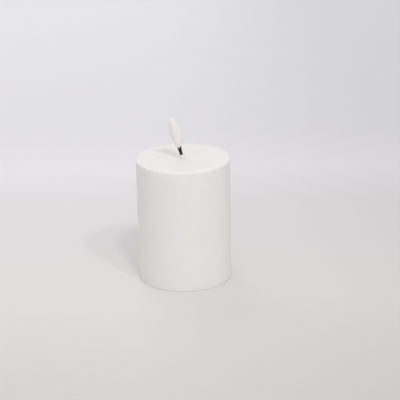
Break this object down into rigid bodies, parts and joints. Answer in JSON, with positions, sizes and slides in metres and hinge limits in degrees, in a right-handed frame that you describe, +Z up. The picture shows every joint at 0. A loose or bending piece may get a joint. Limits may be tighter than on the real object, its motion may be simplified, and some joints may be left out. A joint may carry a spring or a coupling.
{
  "type": "flameless led candle",
  "caption": "White wax pillar with a bendable black wick that holds a frosted LED flame, over a base with a battery door and a slide switch.",
  "frame": {"origin": "centre of the foot ring's underside, on the surface that the candle stands on", "axes": "+Z up the candle towards the flame, +X towards the battery door's hinge (the wick leans to -X), -Y the side of the switch, which is the front"},
  "size_m": [0.075, 0.075, 0.1334],
  "materials": {
    "wax": "matte",
    "housing": "satin",
    "door": "satin",
    "knob": "satin",
    "riser": "satin",
    "seat": "satin",
    "screw_steel": "satin",
    "board": "satin",
    "chip": "matte",
    "tinned": "satin",
    "solder": "polished",
    "capacitor_sleeve": "gloss",
    "resistor": "matte",
    "switch_steel": "satin",
    "lever": "satin",
    "contact_steel": "polished",
    "cell_can": "polished",
    "cell_jacket": "gloss",
    "lead_red": "satin",
    "lead_black": "satin",
    "boot": "matte",
    "wick": "matte",
    "copper": "satin",
    "led_epoxy": "polished",
    "led_steel": "polished",
    "flame": "satin"
  },
  "bodies": {
    "candle": {"wax_shell": "wax", "base_housing": "housing", "housing_cover": "housing", "riser_tube": "riser", "wick_seat": "seat", "housing_screws": "screw_steel", "circuit_board": "board", "board_screws": "screw_steel", "controller_chip": "chip", "chip_leads": "tinned", "timer_crystal": "tinned", "filter_capacitor": "capacitor_sleeve", "chip_resistors": "resistor", "solder_joints": "solder", "switch_case": "switch_steel", "switch_terminals": "tinned", "contact_bridge": "contact_steel", "contact_positive": "contact_steel", "contact_negative": "contact_steel", "spring_cell_1": "contact_steel", "spring_cell_2": "contact_steel", "cell_1_can": "cell_can", "cell_1_jacket": "cell_jacket", "cell_2_can": "cell_can", "cell_2_jacket": "cell_jacket", "lead_battery_red": "lead_red", "lead_battery_black": "lead_black", "lead_lamp_red": "lead_red", "lead_lamp_black": "lead_black"},
    "wick": {"wick_boot": "boot", "wick_sleeve": "wick", "wick_wires": "copper", "led_lens": "led_epoxy", "led_frame": "led_steel", "flame": "flame"},
    "switch": {"switch_lever": "lever", "switch_knob": "knob"},
    "door": {"battery_door": "door"}
  },
  "joints": [
    {"name": "wick_bend", "type": "hinge", "parent": "candle", "child": "wick", "pos_m": [0, 0, 0.099], "axis": [0, 1, 0], "range_deg": [-15, 44]},
    {"name": "switch_slide", "type": "slide", "parent": "candle", "child": "switch", "axis": [1, 0, 0], "range_m": [-0.002, 0.002]},
    {"name": "door_hinge", "type": "hinge", "parent": "candle", "child": "door", "pos_m": [0.0279, 0, 0.0017], "axis": [0, -1, 0], "range_deg": [0, 95]}
  ]
}
